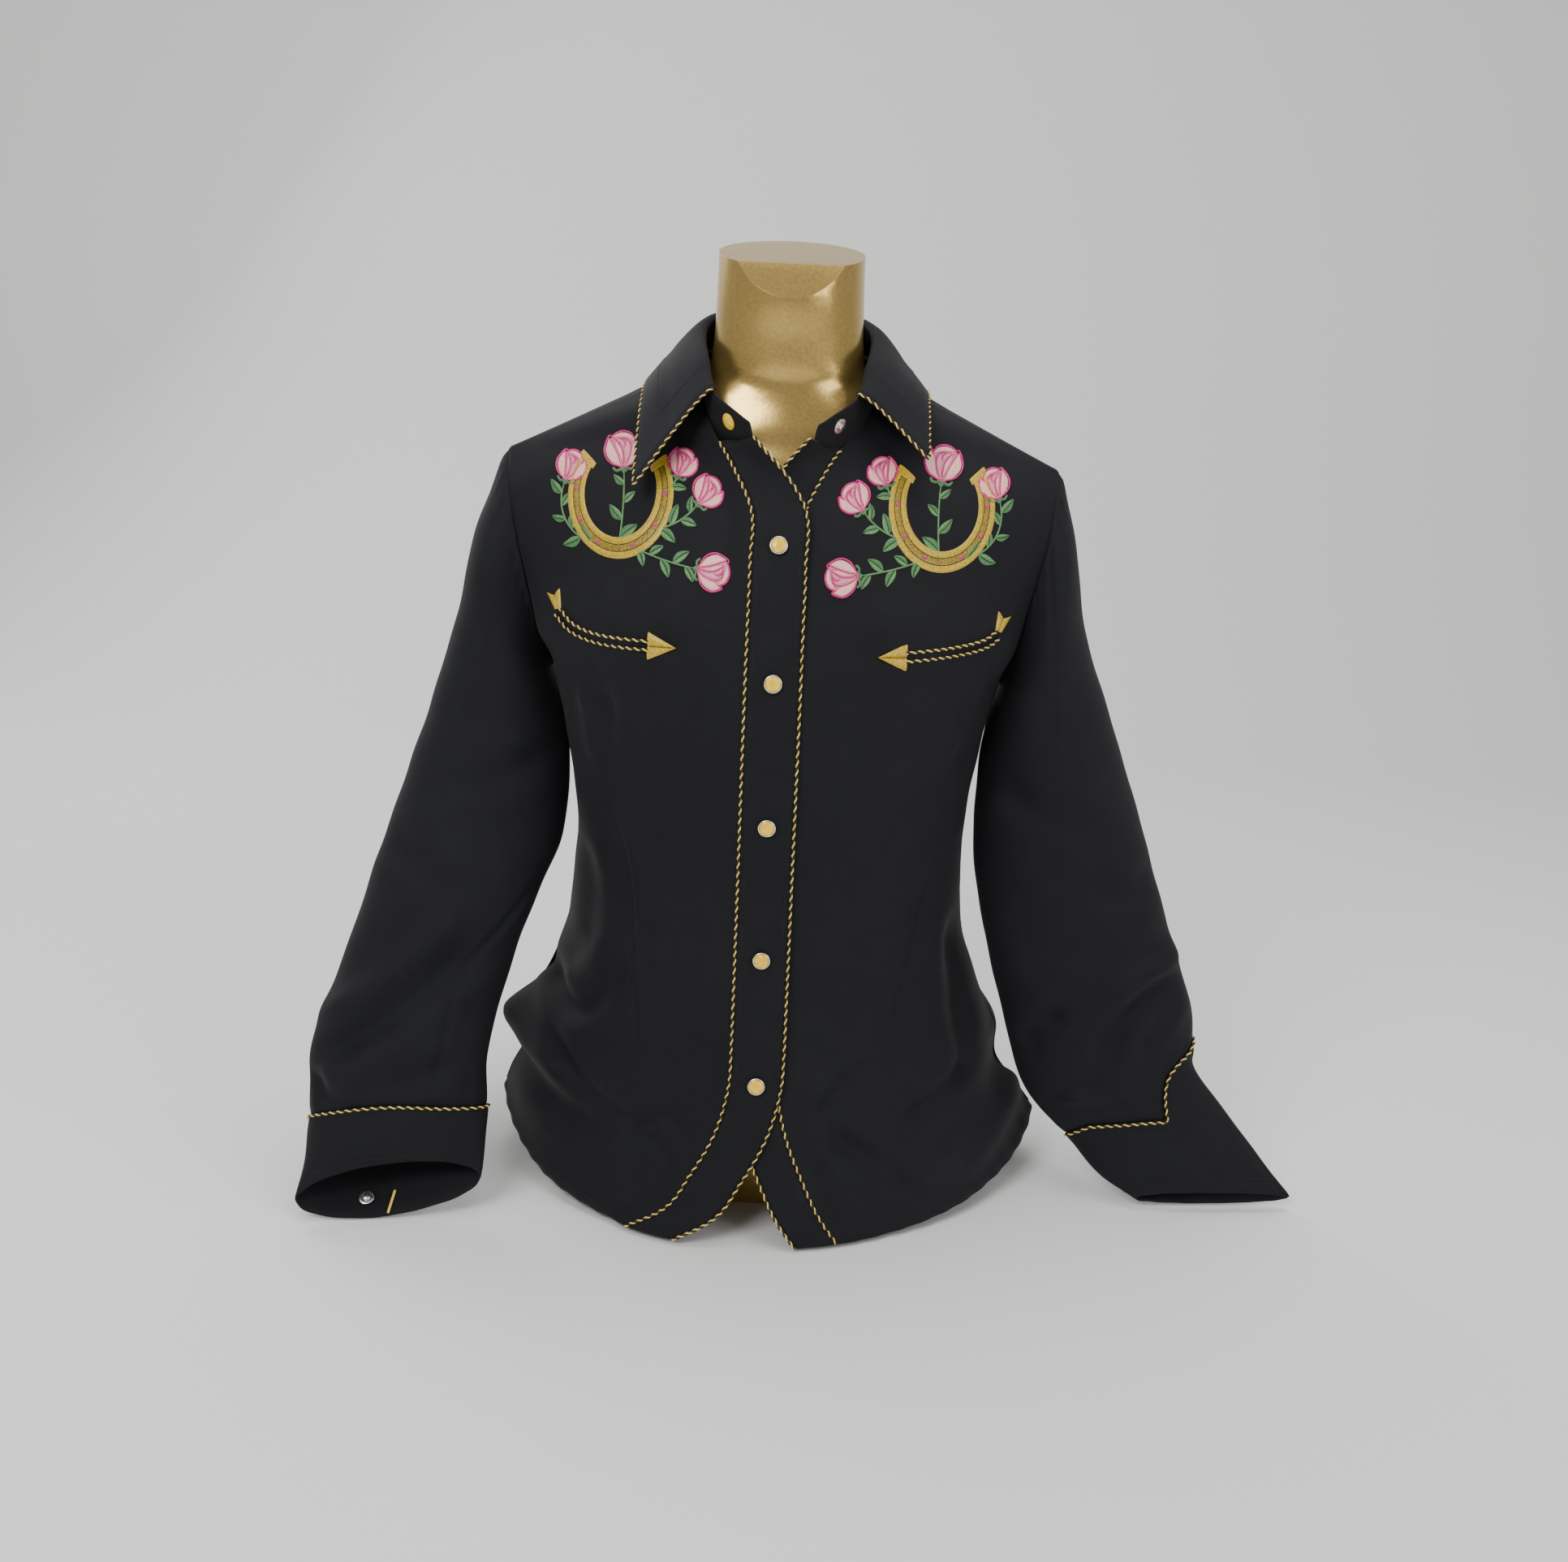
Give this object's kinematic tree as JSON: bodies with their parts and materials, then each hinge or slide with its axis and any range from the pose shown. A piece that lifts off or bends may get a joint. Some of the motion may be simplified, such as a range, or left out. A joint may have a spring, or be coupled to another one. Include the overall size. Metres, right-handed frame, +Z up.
{
  "type": "western snap shirt on dress form",
  "caption": "Women's long-sleeved western shirt with piping, pearl snaps and smile pockets, hanging on a gold limbless dress form with a neck.",
  "frame": {"origin": "centre of the dress form's flat base, on the surface it stands on", "axes": "+Z up, the shirt's front faces -Y, +X towards the wearer's left arm"},
  "size_m": [0.7544, 0.3203, 0.7169],
  "materials": {
    "gold_paint": "satin metallic gold paint, lightly scratched",
    "black_twill": "matte black cotton twill",
    "piping": "twisted yellow and black piping cord",
    "gold_thread": "satin-stitched gold thread",
    "snap_metal": "polished snap metal",
    "pearl": "glossy amber pearl"
  },
  "bodies": {
    "root": {"dress_form": "gold_paint", "back": "black_twill", "front_right": "black_twill", "front_left": "black_twill", "placket_right": "black_twill", "placket_left": "black_twill", "sleeve_right": "black_twill", "sleeve_left": "black_twill", "cuff_right": "black_twill", "cuff_left": "black_twill", "collar_stand": "black_twill", "collar": "black_twill", "piping_edge_right": "piping", "piping_seam_right": "piping", "piping_edge_left": "piping", "piping_seam_left": "piping", "piping_cuff_right": "piping", "piping_cuff_left": "piping", "piping_collar": "piping", "pocket_cord_upper_right": "piping", "pocket_cord_lower_right": "piping", "pocket_cord_upper_left": "piping", "pocket_cord_lower_left": "piping", "arrow_head_right": "gold_thread", "arrow_tail_right": "gold_thread", "arrow_head_left": "gold_thread", "arrow_tail_left": "gold_thread", "snap_rim_1": "snap_metal", "snap_rim_2": "snap_metal", "snap_rim_3": "snap_metal", "snap_rim_4": "snap_metal", "snap_rim_5": "snap_metal", "snap_pearl_1": "pearl", "snap_pearl_2": "pearl", "snap_pearl_3": "pearl", "snap_pearl_4": "pearl", "snap_pearl_5": "pearl", "neck_snap_cap": "pearl", "neck_snap_stud": "snap_metal"}
  },
  "joints": []
}
